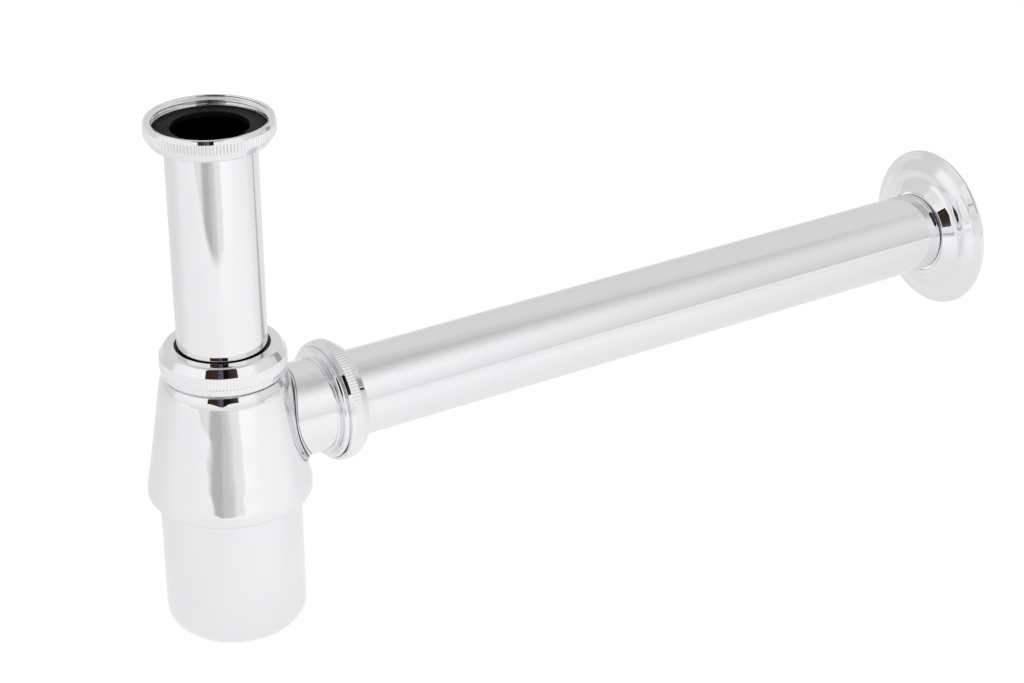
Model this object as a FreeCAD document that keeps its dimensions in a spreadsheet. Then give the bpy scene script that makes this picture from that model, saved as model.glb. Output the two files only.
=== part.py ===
import FreeCAD, Part
import os

import Sketcher
from FreeCAD import Placement, Rotation, Vector

# Chrome bottle trap for a wash basin. Millimetres, +Z up, +X along the outlet pipe.
# The origin is the middle of the inlet washer's top face, where the basin waste lands.

# Driving sizes. Diameters end in _od, everything else is a length, a wall or a gap.
SIZES = {
    # both pipes
    "pipe_od": 32.0,
    "pipe_wall": 1.0,
    "inlet_pipe_length": 171.5,
    "pipe_flange_width": 3.0,
    "pipe_flange_thickness": 1.4,
    "outlet_pipe_length": 310.0,
    "outlet_pipe_start": 30.0,
    "outlet_pipe_past_wall": 10.7,
    "pipe_edge_round": 0.3,
    # flat washer under the basin waste
    "inlet_washer_thickness": 2.0,
    "inlet_washer_overlap": 1.5,
    "inlet_washer_slack": 1.555,
    # knurled union nuts: the thread stands this far outside the pipe
    "thread_rise": 4.955,
    "nut_wall": 1.495,
    "nut_rim_wall": 0.95,
    "nut_floor": 1.75,
    "nut_hole_gap": 0.9,
    "nut_face_width": 3.4,
    "nut_face_round": 0.8,
    "union_nut_height": 8.4,
    "union_rim_band": 1.5,
    "union_knurl_width": 3.4,
    "neck_nut_height": 10.3,
    "neck_rim_band": 2.6,
    "neck_knurl_width": 4.3,
    "knurl_count": 120,
    "knurl_depth": 0.4,
    "knurl_groove": 0.85,
    # conical pipe seals and the slip washers above them
    "seal_disc": 1.4,
    "seal_nose_length": 3.0,
    "seal_nose_taper": 2.0,
    "seal_tip_wall": 0.5,
    "slip_washer_thickness": 0.8,
    "packing_slack": 0.6,
    # bell shaped body, heights measured from the outlet axis
    "outlet_drop": 115.5,
    "neck_height": 30.4,
    "neck_bore_depth": 11.0,
    "lip_height": 23.4,
    "lip_width": 0.75,
    "lip_bevel_width": 1.55,
    "lip_bevel_drop": 2.7,
    "lip_round": 0.8,
    "lip_foot_round": 6.0,
    "cavity_roof_drop": 3.5,
    "cavity_roof_width": 3.7,
    "skirt_wall": 3.8,
    "skirt_band": 5.8,
    "skirt_drop": 26.0,
    "skirt_round": 4.8,
    "cone_foot_round": 8.0,
    "cup_socket_depth": 8.1,
    # outlet spigot on the body
    "spigot_length": 42.9,
    "spigot_wall": 0.95,
    "collar_length": 6.5,
    "collar_round": 2.4,
    "collar_root_round": 0.8,
    "spigot_root_round": 1.2,
    # cup and its seal
    "cup_od": 50.8,
    "cup_height": 57.4,
    "cup_wall": 1.7,
    "cup_corner": 7.6,
    "cup_seal_thickness": 1.6,
    "cup_seal_width": 2.0,
    # wall flange, heights measured from the wall
    "flange_od": 65.0,
    "flange_rim_height": 1.0,
    "flange_brim_width": 4.6,
    "flange_brim_rise": 1.1,
    "flange_step_width": 2.3,
    "flange_step_rise": 2.3,
    "flange_neck_width": 4.0,
    "flange_depth": 8.5,
    "flange_lip_wall": 0.7,
    "flange_sheet": 0.8,
    "flange_hole_gap": 0.6,
    "flange_curve": 2.4,
    "flange_lip_round": 0.5,
    "flange_rim_round": 0.6,
    # fits
    "slide_gap": 0.3,
    "thread_gap": 0.3,
    "seal_gap": 0.3,
    "seal_grip_gap": 0.1,
    "seat_gap": 0.05,
}

TOLERANCE = 1e-4

doc = FreeCAD.newDocument("bottle_trap")
sheet = doc.addObject("Spreadsheet::Sheet", "Dims")
for row, (alias, number) in enumerate(SIZES.items(), start=1):
    sheet.set(f"A{row}", alias)
    sheet.set(f"B{row}", str(number))
    sheet.setAlias(f"B{row}", alias)
doc.recompute()


class Size:
    """A length written as an expression on the sheet, which adds up like a number."""

    def __init__(self, text):
        self.text = text

    @property
    def value(self):
        return float(sheet.evalExpression(self.text))

    def combine(self, sign, other):
        return Size(f"({self.text} {sign} {other.text if isinstance(other, Size) else other})")

    def __add__(self, other):
        return self.combine("+", other)

    def __sub__(self, other):
        return self.combine("-", other)

    def __mul__(self, other):
        return self.combine("*", other)

    def __truediv__(self, other):
        return self.combine("/", other)

    def __neg__(self):
        return Size(f"(0 - {self.text})")


def dim(alias):
    return Size(f"Dims.{alias}")


ZERO = Size("0")


def plane(body, role):
    return next(item for item in body.Origin.OriginFeatures if item.Role == role)


def new_body(label):
    body = doc.addObject("PartDesign::Body", label)
    body.Label = label
    return body


def attach(body, sketch, role):
    sketch.AttachmentSupport = [(plane(body, role), "")]
    sketch.MapMode = "FlatFace"


def outline(body, name, corners, role="XZ_Plane"):
    """A closed sketch of straight runs whose corners are bound to the sheet."""
    sketch = body.newObject("Sketcher::SketchObject", name)
    attach(body, sketch, role)
    points = [Vector(across.value, along.value, 0) for across, along in corners]
    count = len(points)
    for index in range(count):
        sketch.addGeometry(Part.LineSegment(points[index], points[(index + 1) % count]))
    for index in range(count):
        sketch.addConstraint(Sketcher.Constraint("Coincident", index, 2, (index + 1) % count, 1))
    axes = {"DistanceX": -2, "DistanceY": -1}
    for index, corner in enumerate(corners):
        for kind, size in zip(axes, corner):
            if size is ZERO:
                sketch.addConstraint(Sketcher.Constraint("PointOnObject", index, 1, axes[kind]))
                continue
            number = sketch.addConstraint(Sketcher.Constraint(kind, -1, 1, index, 1, size.value))
            sketch.setExpression(f"Constraints[{number}]", size.text)
    return sketch


def turn(body, name, corners, axis="V_Axis", cut=False):
    """Turns a profile about an axis of its sketch, adding to the body or cutting it."""
    before = body.Tip
    sketch = outline(body, f"{name}_profile", corners)
    feature = body.newObject("PartDesign::Groove" if cut else "PartDesign::Revolution", name)
    feature.Profile = sketch
    feature.ReferenceAxis = (sketch, [axis])
    feature.Angle = 360
    doc.recompute()
    if cut and feature.Shape.Volume >= before.Shape.Volume - TOLERANCE:
        raise RuntimeError(f"{name} cuts nothing")
    return feature


def ring_edges(feature, rings, axis="z"):
    """Names of the round edges with these radii and places along an axis."""
    names = []
    for radius, station in rings:
        found = None
        for number, edge in enumerate(feature.Shape.Edges, start=1):
            curve = edge.Curve
            if curve.TypeId != "Part::GeomCircle":
                continue
            off_radius = abs(curve.Radius - radius.value)
            off_station = abs(getattr(curve.Center, axis) - station.value)
            if max(off_radius, off_station) < TOLERANCE:
                found = f"Edge{number}"
        if found is None:
            raise RuntimeError(f"{feature.Name} has no edge of radius {radius.value} at {station.value}")
        names.append(found)
    return names


def soften(body, name, edges, size):
    """Rounds named edges of the body's last feature."""
    base = body.Tip
    feature = body.newObject("PartDesign::Fillet", name)
    feature.Base = (base, edges)
    feature.setExpression("Radius", size.text)
    doc.recompute()
    return feature


def hollow(body, name, open_height, wall):
    """Shells the body to a wall, open at its flat face at this height."""
    solid = body.Tip
    mouth = next(
        f"Face{number}"
        for number, face in enumerate(solid.Shape.Faces, start=1)
        if face.Surface.TypeId == "Part::GeomPlane"
        and abs(face.CenterOfMass.z - open_height.value) < TOLERANCE
    )
    shell = body.newObject("PartDesign::Thickness", name)
    shell.Base = (solid, [mouth])
    shell.Reversed = True
    shell.setExpression("Value", wall.text)
    doc.recompute()
    if shell.Shape.Volume >= solid.Shape.Volume - TOLERANCE:
        raise RuntimeError(f"{name} is not hollow")


def place(body, x=ZERO, z=ZERO, turned=Rotation()):
    body.Placement = Placement(Vector(x.value, 0, z.value), turned)
    body.setExpression("Placement.Base.x", x.text)
    body.setExpression("Placement.Base.z", z.text)


UPSIDE_DOWN = Rotation(Vector(1, 0, 0), 180)
ALONG_OUTLET = Rotation(Vector(0, 1, 0), 90)
FACING_BODY = Rotation(Vector(0, 1, 0), -90)

# Radii that several pieces share, built up from the pipe outwards
pipe_r = dim("pipe_od") / 2
pipe_bore_r = pipe_r - dim("pipe_wall")
socket_r = pipe_r + dim("slide_gap")
thread_r = pipe_r + dim("thread_rise")
male_thread_r = thread_r - dim("thread_gap")
packing_r = thread_r - dim("packing_slack")
nut_hole_r = pipe_r + dim("nut_hole_gap")
nut_crest_r = thread_r + dim("nut_wall")
seal_bore_r = pipe_r + dim("seal_grip_gap")
seal_tip_r = seal_bore_r + dim("seal_tip_wall")
seal_root_r = seal_tip_r + dim("seal_nose_taper")
mouth_r = seal_root_r + dim("seal_gap")
mouth_depth = (mouth_r - socket_r) * dim("seal_nose_length") / dim("seal_nose_taper")
cup_r = dim("cup_od") / 2
cup_socket_r = cup_r + dim("thread_gap")
skirt_r = cup_socket_r + dim("skirt_wall")

# The packing between a pipe socket and its nut, from the socket's end to the nut's floor
seal_lift = dim("seat_gap")
washer_lift = seal_lift + dim("seal_disc") + dim("seat_gap")
floor_lift = washer_lift + dim("slip_washer_thickness") + dim("seat_gap")
nut_end_lift = floor_lift + dim("nut_floor")


def knurled_nut(label, height, rim_band, knurl_width, pocket=None):
    """A union nut, open end at the bottom, with a band of straight knurling.

    A pocket of a radius and a depth leaves the thread short of the nut's floor.
    """
    body = new_body(label)
    knurl_top = rim_band + knurl_width
    face_r = nut_hole_r + dim("nut_face_width")
    floor = height - dim("nut_floor")
    inside = [(thread_r, floor)]
    if pocket:
        pocket_r, pocket_depth = pocket
        thread_end = floor - pocket_depth
        inside = [(pocket_r, floor), (pocket_r, thread_end), (thread_r, thread_end)]
    turn(body, f"{label}_turning", [
        (thread_r, ZERO),
        (thread_r + dim("nut_rim_wall"), ZERO),
        (nut_crest_r, rim_band),
        (nut_crest_r, knurl_top),
        (face_r, height),
        (nut_hole_r, height),
        (nut_hole_r, floor),
        *inside,
    ])
    face_edge = ring_edges(body.Tip, [(face_r, height)])
    rounded = soften(body, f"{label}_face_round", face_edge, dim("nut_face_round"))
    # one vee groove of the knurl, repeated round the axis
    half = dim("knurl_groove") / 2
    groove = outline(body, f"{label}_groove", [
        (nut_crest_r - dim("knurl_depth"), ZERO),
        (nut_crest_r, half),
        (nut_crest_r, -half),
    ], role="XY_Plane")
    groove.AttachmentOffset = Placement(Vector(0, 0, rim_band.value), Rotation())
    groove.setExpression("AttachmentOffset.Base.z", rim_band.text)
    cut = body.newObject("PartDesign::Pocket", f"{label}_tooth_gap")
    cut.Profile = groove
    cut.Reversed = True
    cut.Length = knurl_width.value
    cut.setExpression("Length", knurl_width.text)
    doc.recompute()
    if cut.Shape.Volume >= rounded.Shape.Volume - TOLERANCE:
        raise RuntimeError(f"{label} has no knurl")
    knurl = body.newObject("PartDesign::PolarPattern", f"{label}_knurl")
    knurl.Originals = [cut]
    knurl.Axis = (groove, ["N_Axis"])
    knurl.Angle = 360
    knurl.setExpression("Occurrences", "Dims.knurl_count")
    body.Tip = knurl
    doc.recompute()
    return body


def flat_ring(label, inner_r, outer_r, thickness):
    """A flat washer that lies on its own lower face."""
    body = new_body(label)
    turn(body, f"{label}_section", [
        (inner_r, ZERO),
        (outer_r, ZERO),
        (outer_r, thickness),
        (inner_r, thickness),
    ])
    return body


def conical_seal(label):
    """A rubber pipe seal: a disc with a conical nose that points into the socket."""
    body = new_body(label)
    root = dim("seal_nose_length")
    top = root + dim("seal_disc")
    turn(body, f"{label}_section", [
        (seal_bore_r, ZERO),
        (seal_tip_r, ZERO),
        (seal_root_r, root),
        (packing_r, root),
        (packing_r, top),
        (seal_bore_r, top),
    ])
    return body


def pipe(label, length, flange=False):
    """A plain pipe from its lower end upwards, with a flat flange at the top if asked."""
    body = new_body(label)
    flange_r = pipe_r + dim("pipe_flange_width")
    shoulder = length - dim("pipe_flange_thickness")
    outside = [(pipe_r, ZERO), (pipe_r, length)]
    if flange:
        outside = [(pipe_r, ZERO), (pipe_r, shoulder), (flange_r, shoulder), (flange_r, length)]
    turn(body, f"{label}_tube", [(pipe_bore_r, ZERO), *outside, (pipe_bore_r, length)])
    ends = [(pipe_r, ZERO)] if flange else [(pipe_r, ZERO), (pipe_r, length)]
    soften(body, f"{label}_edge_round", ring_edges(body.Tip, ends), dim("pipe_edge_round"))
    return body


def bell_body(label):
    """The cast bell with its threaded neck, outlet spigot and socket for the cup."""
    body = new_body(label)
    neck_top = dim("neck_height")
    lip_r = male_thread_r + dim("lip_width")
    bevel_r = lip_r + dim("lip_bevel_width")
    bevel_z = dim("lip_height") - dim("lip_bevel_drop")
    skirt_z = -dim("skirt_drop")
    band_z = skirt_z + dim("skirt_band")
    ledge_z = skirt_z + dim("cup_socket_depth")
    ledge_r = cup_socket_r - dim("cup_seal_width") - dim("slide_gap")
    turn(body, f"{label}_bell", [
        (ZERO, neck_top),
        (male_thread_r, neck_top),
        (male_thread_r, dim("lip_height")),
        (lip_r, dim("lip_height")),
        (bevel_r, bevel_z),
        (skirt_r, band_z),
        (skirt_r, skirt_z),
        (ZERO, skirt_z),
    ])
    rounds = (
        ("lip_round", lip_r, dim("lip_height")),
        ("lip_foot_round", bevel_r, bevel_z),
        ("cone_foot_round", skirt_r, band_z),
        ("skirt_round", skirt_r, skirt_z),
    )
    for size, radius, height in rounds:
        edge = ring_edges(body.Tip, [(radius, height)])
        soften(body, f"{label}_{size}", edge, dim(size))
    # the spigot stands out along +X and ends in a threaded collar
    spigot_r = socket_r + dim("spigot_wall")
    spigot_end = dim("spigot_length")
    collar_x = spigot_end - dim("collar_length")
    turn(body, f"{label}_spigot", [
        (ZERO, ZERO),
        (ZERO, spigot_r),
        (collar_x, spigot_r),
        (collar_x, male_thread_r),
        (spigot_end, male_thread_r),
        (spigot_end, ZERO),
    ], axis="H_Axis")
    for size, radius in (("collar_round", male_thread_r), ("collar_root_round", spigot_r)):
        edge = ring_edges(body.Tip, [(radius, collar_x)], axis="x")
        soften(body, f"{label}_{size}", edge, dim(size))
    soften(body, f"{label}_spigot_root", [spigot_root(body.Tip, spigot_r)], dim("spigot_root_round"))
    # neck bore with its conical mouth, the cavity below it and the threaded cup socket
    bore_end = neck_top - dim("neck_bore_depth")
    roof_z = bore_end - dim("cavity_roof_drop")
    turn(body, f"{label}_cavity", [
        (ZERO, neck_top),
        (mouth_r, neck_top),
        (socket_r, neck_top - mouth_depth),
        (socket_r, bore_end),
        (socket_r + dim("cavity_roof_width"), roof_z),
        (ledge_r, ledge_z),
        (cup_socket_r, ledge_z),
        (cup_socket_r, skirt_z),
        (ZERO, skirt_z),
    ], cut=True)
    turn(body, f"{label}_outlet_bore", [
        (ZERO, ZERO),
        (ZERO, socket_r),
        (spigot_end - mouth_depth, socket_r),
        (spigot_end, mouth_r),
        (spigot_end, ZERO),
    ], axis="H_Axis", cut=True)
    return body


def spigot_root(feature, spigot_r):
    """Name of the curved edge where the spigot leaves the bell's outside."""
    for number, edge in enumerate(feature.Shape.Edges, start=1):
        if edge.Curve.TypeId == "Part::GeomCircle" or edge.Curve.TypeId == "Part::GeomLine":
            continue
        middle = edge.valueAt((edge.FirstParameter + edge.LastParameter) / 2)
        off_axis = (middle.y ** 2 + middle.z ** 2) ** 0.5
        if middle.x > 0 and abs(off_axis - spigot_r.value) < TOLERANCE:
            return f"Edge{number}"
    raise RuntimeError("the spigot has no root edge")


def cup(label):
    """The screw-off cup, a plain pot with a rounded foot."""
    body = new_body(label)
    height = dim("cup_height")
    turn(body, f"{label}_outside", [
        (ZERO, ZERO),
        (cup_r, ZERO),
        (cup_r, height),
        (ZERO, height),
    ])
    foot = ring_edges(body.Tip, [(cup_r, ZERO)])
    soften(body, f"{label}_foot_round", foot, dim("cup_corner"))
    hollow(body, f"{label}_inside", height, dim("cup_wall"))
    return body


def wall_flange(label):
    """The pressed sheet flange that hides the hole in the wall, its back open."""
    body = new_body(label)
    rim_r = dim("flange_od") / 2
    hole_r = pipe_r + dim("flange_hole_gap")
    lip_r = hole_r + dim("flange_lip_wall")
    foot_r = lip_r + dim("flange_neck_width")
    brim_r = rim_r - dim("flange_brim_width")
    step_r = brim_r - dim("flange_step_width")
    brim_z = dim("flange_rim_height") + dim("flange_brim_rise")
    plateau_z = brim_z + dim("flange_step_rise")
    depth = dim("flange_depth")
    turn(body, f"{label}_form", [
        (ZERO, ZERO),
        (rim_r, ZERO),
        (rim_r, dim("flange_rim_height")),
        (brim_r, brim_z),
        (step_r, plateau_z),
        (foot_r, plateau_z),
        (lip_r, depth),
        (ZERO, depth),
    ])
    bends = ring_edges(body.Tip, [(brim_r, brim_z), (step_r, plateau_z), (foot_r, plateau_z)])
    soften(body, f"{label}_bends", bends, dim("flange_curve"))
    hollow(body, f"{label}_sheet", ZERO, dim("flange_sheet"))
    turn(body, f"{label}_hole", [
        (ZERO, ZERO),
        (hole_r, ZERO),
        (hole_r, depth),
        (ZERO, depth),
    ], cut=True)
    lip_edge = ring_edges(body.Tip, [(lip_r, depth)])
    soften(body, f"{label}_lip_round", lip_edge, dim("flange_lip_round"))
    rim_edge = ring_edges(body.Tip, [(rim_r, dim("flange_rim_height"))])
    soften(body, f"{label}_rim_round", rim_edge, dim("flange_rim_round"))
    return body


# Inlet: the washer's top face is the origin, the nut is screwed up over the basin waste
washer_z = -dim("inlet_washer_thickness")
pipe_top = washer_z - dim("seat_gap")
inlet_floor = pipe_top - dim("pipe_flange_thickness") - dim("seat_gap")
inlet_rim = inlet_floor - dim("nut_floor") + dim("union_nut_height")
union_size = (dim("union_nut_height"), dim("union_rim_band"), dim("union_knurl_width"))
inlet_washer_r = thread_r - dim("inlet_washer_slack")
inlet_pocket = (inlet_washer_r + dim("slide_gap"), -inlet_floor)
inlet_nut = knurled_nut("inlet_nut", *union_size, inlet_pocket)
place(inlet_nut, z=inlet_rim, turned=UPSIDE_DOWN)
inlet_washer = flat_ring(
    "inlet_washer",
    pipe_bore_r - dim("inlet_washer_overlap"),
    inlet_washer_r,
    dim("inlet_washer_thickness"),
)
place(inlet_washer, z=washer_z)
inlet_pipe = pipe("inlet_pipe", dim("inlet_pipe_length"), flange=True)
place(inlet_pipe, z=pipe_top - dim("inlet_pipe_length"))

# Body on the outlet axis, and the packing round the inlet pipe in its neck
axis_z = -dim("outlet_drop")
trap_body = bell_body("trap_body")
place(trap_body, z=axis_z)
neck_z = axis_z + dim("neck_height")
neck_seal = conical_seal("neck_seal")
place(neck_seal, z=neck_z + seal_lift - dim("seal_nose_length"))
slip_washer = (socket_r, packing_r, dim("slip_washer_thickness"))
neck_washer = flat_ring("neck_washer", *slip_washer)
place(neck_washer, z=neck_z + washer_lift)
neck_size = (dim("neck_nut_height"), dim("neck_rim_band"), dim("neck_knurl_width"))
neck_nut = knurled_nut("neck_nut", *neck_size)
place(neck_nut, z=neck_z + nut_end_lift - dim("neck_nut_height"))

# Cup screwed up against its seal under the ledge in the skirt
ledge = axis_z - dim("skirt_drop") + dim("cup_socket_depth")
cup_seal_z = ledge - dim("seat_gap") - dim("cup_seal_thickness")
cup_seal_r = cup_socket_r - dim("slide_gap")
cup_seal = flat_ring(
    "cup_seal",
    cup_seal_r - dim("cup_seal_width"),
    cup_seal_r,
    dim("cup_seal_thickness"),
)
place(cup_seal, z=cup_seal_z)
cup_pot = cup("cup")
place(cup_pot, z=cup_seal_z - dim("seat_gap") - dim("cup_height"))

# Outlet: the same packing on its side, the pipe and the wall flange
spigot_x = dim("spigot_length")
outlet_seal = conical_seal("outlet_seal")
place(outlet_seal, spigot_x + seal_lift - dim("seal_nose_length"), axis_z, ALONG_OUTLET)
outlet_washer = flat_ring("outlet_washer", *slip_washer)
place(outlet_washer, spigot_x + washer_lift, axis_z, ALONG_OUTLET)
outlet_nut = knurled_nut("outlet_nut", *union_size)
place(outlet_nut, spigot_x + nut_end_lift - dim("union_nut_height"), axis_z, ALONG_OUTLET)
outlet_pipe = pipe("outlet_pipe", dim("outlet_pipe_length"))
place(outlet_pipe, dim("outlet_pipe_start"), axis_z, ALONG_OUTLET)
flange = wall_flange("wall_flange")
wall_x = dim("outlet_pipe_start") + dim("outlet_pipe_length") - dim("outlet_pipe_past_wall")
place(flange, wall_x, axis_z, FACING_BODY)

doc.recompute()
for item in doc.Objects:
    if "Invalid" in item.State or "Error" in item.State:
        raise RuntimeError(f"{item.Name} failed: {item.State}")
bodies = [item for item in doc.Objects if item.TypeId == "PartDesign::Body"]
for body in bodies:
    if body.Shape.isNull() or not body.Shape.isValid() or len(body.Shape.Solids) != 1:
        raise RuntimeError(f"{body.Label} is not one valid solid")
os.makedirs("parts", exist_ok=True)
for body in bodies:
    body.Shape.exportStep(f"parts/{body.Label}.step")
    box = body.Shape.BoundBox
    reach = f"z {box.ZMin:.2f} to {box.ZMax:.2f}, x to {box.XMax:.2f}"
    print(f"{body.Label}: {body.Shape.Volume:.1f} mm3, {reach}")
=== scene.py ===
"""Looks of a chrome bottle trap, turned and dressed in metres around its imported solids."""

import logging
import math
from dataclasses import dataclass
from enum import Enum
from typing import Callable

import bmesh
import bpy
import numpy as np
from mathutils import Euler, Matrix, Vector
from mathutils.kdtree import KDTree


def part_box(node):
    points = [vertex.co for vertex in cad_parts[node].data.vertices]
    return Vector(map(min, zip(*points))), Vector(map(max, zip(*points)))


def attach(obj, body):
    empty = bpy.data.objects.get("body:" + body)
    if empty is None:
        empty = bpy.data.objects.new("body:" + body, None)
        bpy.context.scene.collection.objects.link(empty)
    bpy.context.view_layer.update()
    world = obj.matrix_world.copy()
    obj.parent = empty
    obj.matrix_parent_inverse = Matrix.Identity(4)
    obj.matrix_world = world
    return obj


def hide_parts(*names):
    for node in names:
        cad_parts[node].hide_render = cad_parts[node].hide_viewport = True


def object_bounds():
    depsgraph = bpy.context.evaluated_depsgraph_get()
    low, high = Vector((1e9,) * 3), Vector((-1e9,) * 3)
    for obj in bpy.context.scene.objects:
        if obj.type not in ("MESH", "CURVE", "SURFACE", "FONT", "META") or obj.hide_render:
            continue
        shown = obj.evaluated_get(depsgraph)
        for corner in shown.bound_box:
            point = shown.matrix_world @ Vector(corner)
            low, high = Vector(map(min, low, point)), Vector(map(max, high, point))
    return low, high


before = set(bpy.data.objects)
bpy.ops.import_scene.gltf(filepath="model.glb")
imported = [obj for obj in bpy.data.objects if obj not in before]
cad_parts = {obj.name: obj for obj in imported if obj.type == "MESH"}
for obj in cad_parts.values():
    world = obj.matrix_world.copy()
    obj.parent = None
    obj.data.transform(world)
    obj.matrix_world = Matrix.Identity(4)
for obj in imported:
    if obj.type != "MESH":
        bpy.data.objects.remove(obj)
CAD_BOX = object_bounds()
LOG = logging.getLogger("bottle_trap")

MM = 0.001
# Rounding of a plain plated edge, and the ring beside a round that keeps the flat next to it flat
EDGE_ROUND = 0.12 * MM
HOLD_GAP = 0.04 * MM
SHORT_RUN = 4 * HOLD_GAP
# Steps of an arc, the turn that counts as straight, and the share of a run that one round may take
ARC_STEP = math.radians(9.0)
LEAST_ARC_STEPS = 3
STRAIGHT_TURN = 1e-3
ROUND_SHARE = 0.48
# Columns of a plain turned piece, and the gap at which two points are one
ROUND_STEPS = 256
MERGE_GAP = 1e-7

# Pipe thread of 1 1/4 inch: eleven turns to the inch
THREAD_PITCH = 25.4 / 11 * MM
THREAD_DEPTH = 1.3 * MM
THREAD_ROW = 0.17 * MM
THREAD_FADE = 0.5 * MM
THREAD_R = 20.955 * MM
MALE_THREAD_R = 20.655 * MM

# Name of the mark that the body's mesh carries along its root, which paints shade into the corner round the
# spigot
ROOT_SHADE_MARK = "root_painted_shade"

# Both pipes, the sockets that take them and the flared mouths for their seals
PIPE_R = 16.0 * MM
PIPE_BORE_R = 15.0 * MM
PIPE_END_ROUND = 0.3 * MM
SOCKET_R = 16.3 * MM
MOUTH_R = 18.9 * MM

Point = tuple[float, float]
Stops = tuple[tuple[float, float], ...]
Colour = tuple[float, float, float, float]
Relief = Callable[[np.ndarray, np.ndarray, np.ndarray], np.ndarray]
Sockets = bpy.types.bpy_prop_collection

WHITE: Colour = (1.0, 1.0, 1.0, 1.0)


class Axis(Enum):
    """The line that a piece is turned about."""

    INLET = "inlet"
    OUTLET = "outlet"


class Slot(Enum):
    """Material slots of the record."""

    CHROME = "chrome_plate"
    RUBBER = "black_rubber"
    PLASTIC = "slip_plastic"


class ToolMark(Enum):
    """Which way the finest lines of the metal run under its plating."""

    TURNED = "turned"
    DRAWN = "drawn"
    BUFFED = "buffed"


@dataclass(frozen=True)
class Corner:
    """A corner of a turned section.

    Args:
        out: Distance from the axis.
        along: Place along the axis, in the row frame.
        round: Radius of the corner.
    """

    out: float
    along: float
    round: float = EDGE_ROUND

    @property
    def place(self) -> np.ndarray:
        """The corner as a vector."""
        return np.array((self.out, self.along))


def grey(level: float) -> Colour:
    """A colour without hue."""
    return (level, level, level, 1.0)


def outlet_height() -> float:
    """Returns the height of the outlet pipe's axis."""
    low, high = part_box("outlet_pipe")
    return (low.z + high.z) / 2


def corner_arc(before: Corner, corner: Corner, after: Corner) -> list[Point]:
    """Samples the round of one corner between its neighbours.

    Args:
        before: The corner ahead of it on the section.
        corner: The corner to round.
        after: The corner behind it.

    Returns:
        Points from the arc's start to its end.
    """
    back = before.place - corner.place
    ahead = after.place - corner.place
    back_length = np.linalg.norm(back)
    ahead_length = np.linalg.norm(ahead)
    back = back / back_length
    ahead = ahead / ahead_length
    turn = math.pi - math.acos(float(np.clip(back @ ahead, -1.0, 1.0)))
    if turn < STRAIGHT_TURN:
        return [(corner.out, corner.along)]
    half = math.tan(turn / 2)
    reach = min(corner.round * half, ROUND_SHARE * back_length, ROUND_SHARE * ahead_length)
    radius = reach / half
    inward = (back + ahead) / np.linalg.norm(back + ahead)
    centre = corner.place + inward * radius / math.cos(turn / 2)
    start = corner.place + back * reach - centre
    end = corner.place + ahead * reach - centre
    steps = max(LEAST_ARC_STEPS, math.ceil(turn / ARC_STEP))
    points = []
    for step in range(steps + 1):
        swept = turn * step / steps
        spoke = (start * math.sin(turn - swept) + end * math.sin(swept)) / math.sin(turn)
        points.append(tuple(centre + spoke))
    return points


def holding_points(start: Point, end: Point) -> list[Point]:
    """Points just inside both ends of a straight run, or none on a short one.

    Args:
        start: Where the run begins.
        end: Where it ends.

    Returns:
        The two points in order.
    """
    run = np.subtract(end, start)
    length = float(np.linalg.norm(run))
    if length < SHORT_RUN:
        return []
    step = run * HOLD_GAP / length
    return [tuple(np.add(start, step)), tuple(np.subtract(end, step))]


def rounded_section(corners: list[Corner], closed: bool = True) -> list[Point]:
    """Samples a section with all its corners rounded.

    Args:
        corners: The section's corners in order.
        closed: Whether the last corner joins the first.

    Returns:
        Points along the section.
    """
    count = len(corners)
    arcs = []
    for index, corner in enumerate(corners):
        if not closed and index in (0, count - 1):
            arcs.append([(corner.out, corner.along)])
        else:
            arcs.append(corner_arc(corners[index - 1], corner, corners[(index + 1) % count]))
    points: list[Point] = []
    for index in range(count if closed else count - 1):
        points += arcs[index]
        points += holding_points(arcs[index][-1], arcs[(index + 1) % count][0])
    if not closed:
        points += arcs[-1]
    return points


def dense_section(points: list[Point], out: float, spacing: float) -> list[Point]:
    """Adds points to the runs that lie at one distance from the axis.

    Args:
        points: A closed section.
        out: The distance of the runs to divide.
        spacing: Longest gap left on them.

    Returns:
        The section with the added points.
    """
    result: list[Point] = []
    for here, after in zip(points, points[1:] + points[:1]):
        result.append(here)
        length = abs(after[1] - here[1])
        on_wall = max(abs(here[0] - out), abs(after[0] - out)) < MERGE_GAP
        if on_wall and length > spacing:
            parts = math.ceil(length / spacing)
            result += [(out, here[1] + (after[1] - here[1]) * part / parts) for part in range(1, parts)]
    return result


def offset_corners(corners: list[Corner], gap: float) -> list[Corner]:
    """Moves an open run of corners sideways, for the far face of a sheet.

    Args:
        corners: The run on the near face.
        gap: The sheet's thickness, to the left of the run.

    Returns:
        The run on the far face, with its rounds fitted to it.
    """
    places = [corner.place for corner in corners]
    ways = [(end - start) / np.linalg.norm(end - start) for start, end in zip(places, places[1:])]
    sides = [np.array((-way[1], way[0])) for way in ways]
    moved = []
    for index, corner in enumerate(corners):
        before = sides[max(index - 1, 0)]
        after = sides[min(index, len(sides) - 1)]
        shift = (before + after) * gap / (1 + float(before @ after))
        way_in = ways[max(index - 1, 0)]
        way_out = ways[min(index, len(ways) - 1)]
        turns_left = way_in[0] * way_out[1] - way_in[1] * way_out[0] > 0
        fitted = corner.round - gap if turns_left else corner.round + gap
        place = corner.place + shift
        moved.append(Corner(float(place[0]), float(place[1]), max(fitted, EDGE_ROUND)))
    return moved


def thread_wave(along: np.ndarray, angle: np.ndarray, low: float, high: float) -> np.ndarray:
    """Depth of a right-hand round thread, which fades out at both ends.

    Args:
        along: Places along the axis.
        angle: Angles round it.
        low: Where the thread begins.
        high: Where it ends.

    Returns:
        How far the surface lies from the thread's outer line.
    """
    phase = 2 * math.pi * along / THREAD_PITCH - angle
    fade = np.clip(np.minimum(along - low, high - along) / THREAD_FADE, 0, 1)
    return THREAD_DEPTH * fade * (0.5 - 0.5 * np.cos(phase))


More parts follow.
